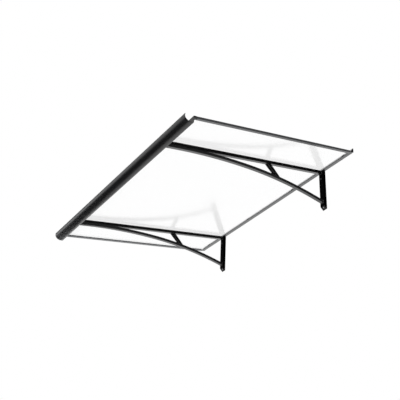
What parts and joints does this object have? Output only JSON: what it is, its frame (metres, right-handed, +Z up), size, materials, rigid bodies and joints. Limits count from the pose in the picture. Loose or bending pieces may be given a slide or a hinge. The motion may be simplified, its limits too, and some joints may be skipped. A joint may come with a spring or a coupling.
{
  "type": "door canopy",
  "caption": "Flat door canopy: a clear sloping sheet in slim aluminium profiles, with a half-round front gutter and arched steel tube brackets for the wall.",
  "frame": {"origin": "centre of the wall profile's back face, on the plane of the wall", "axes": "+X along the wall, to the right for someone outside who faces it; +Y into the wall; +Z up"},
  "size_m": [1.208, 0.874, 0.2236],
  "materials": {
    "clear_sheet": "clear polycarbonate, glossy",
    "grey_aluminium": "dark grey powder coat, satin",
    "black_steel": "black powder coat, satin",
    "black_rubber": "matte",
    "black_plastic": "smooth, slightly glossy",
    "bright_steel": "stainless steel"
  },
  "bodies": {
    "root": {"clear_sheet": "clear_sheet", "wall_profile": "grey_aluminium", "wall_plug_1": "black_plastic", "wall_plug_2": "black_plastic", "wall_plug_3": "black_plastic", "wall_plug_4": "black_plastic", "wall_seal": "black_rubber", "side_profile_left": "grey_aluminium", "side_profile_right": "grey_aluminium", "side_seal_left": "black_rubber", "side_seal_right": "black_rubber", "gutter": "grey_aluminium", "front_profile": "grey_aluminium", "gutter_seal": "black_rubber", "post_left": "black_steel", "post_right": "black_steel", "post_plug_left": "black_plastic", "post_plug_right": "black_plastic", "post_foot_left": "black_plastic", "post_foot_right": "black_plastic", "foot_plug_left": "black_plastic", "foot_plug_right": "black_plastic", "arm_left": "black_steel", "arm_right": "black_steel", "arm_pad_left": "black_rubber", "arm_pad_right": "black_rubber", "brace_left": "black_steel", "brace_right": "black_steel", "strut_left": "black_steel", "strut_right": "black_steel", "arm_insert_left": "black_plastic", "arm_insert_right": "black_plastic", "gutter_screw_left": "bright_steel", "gutter_screw_right": "bright_steel"}
  },
  "joints": []
}
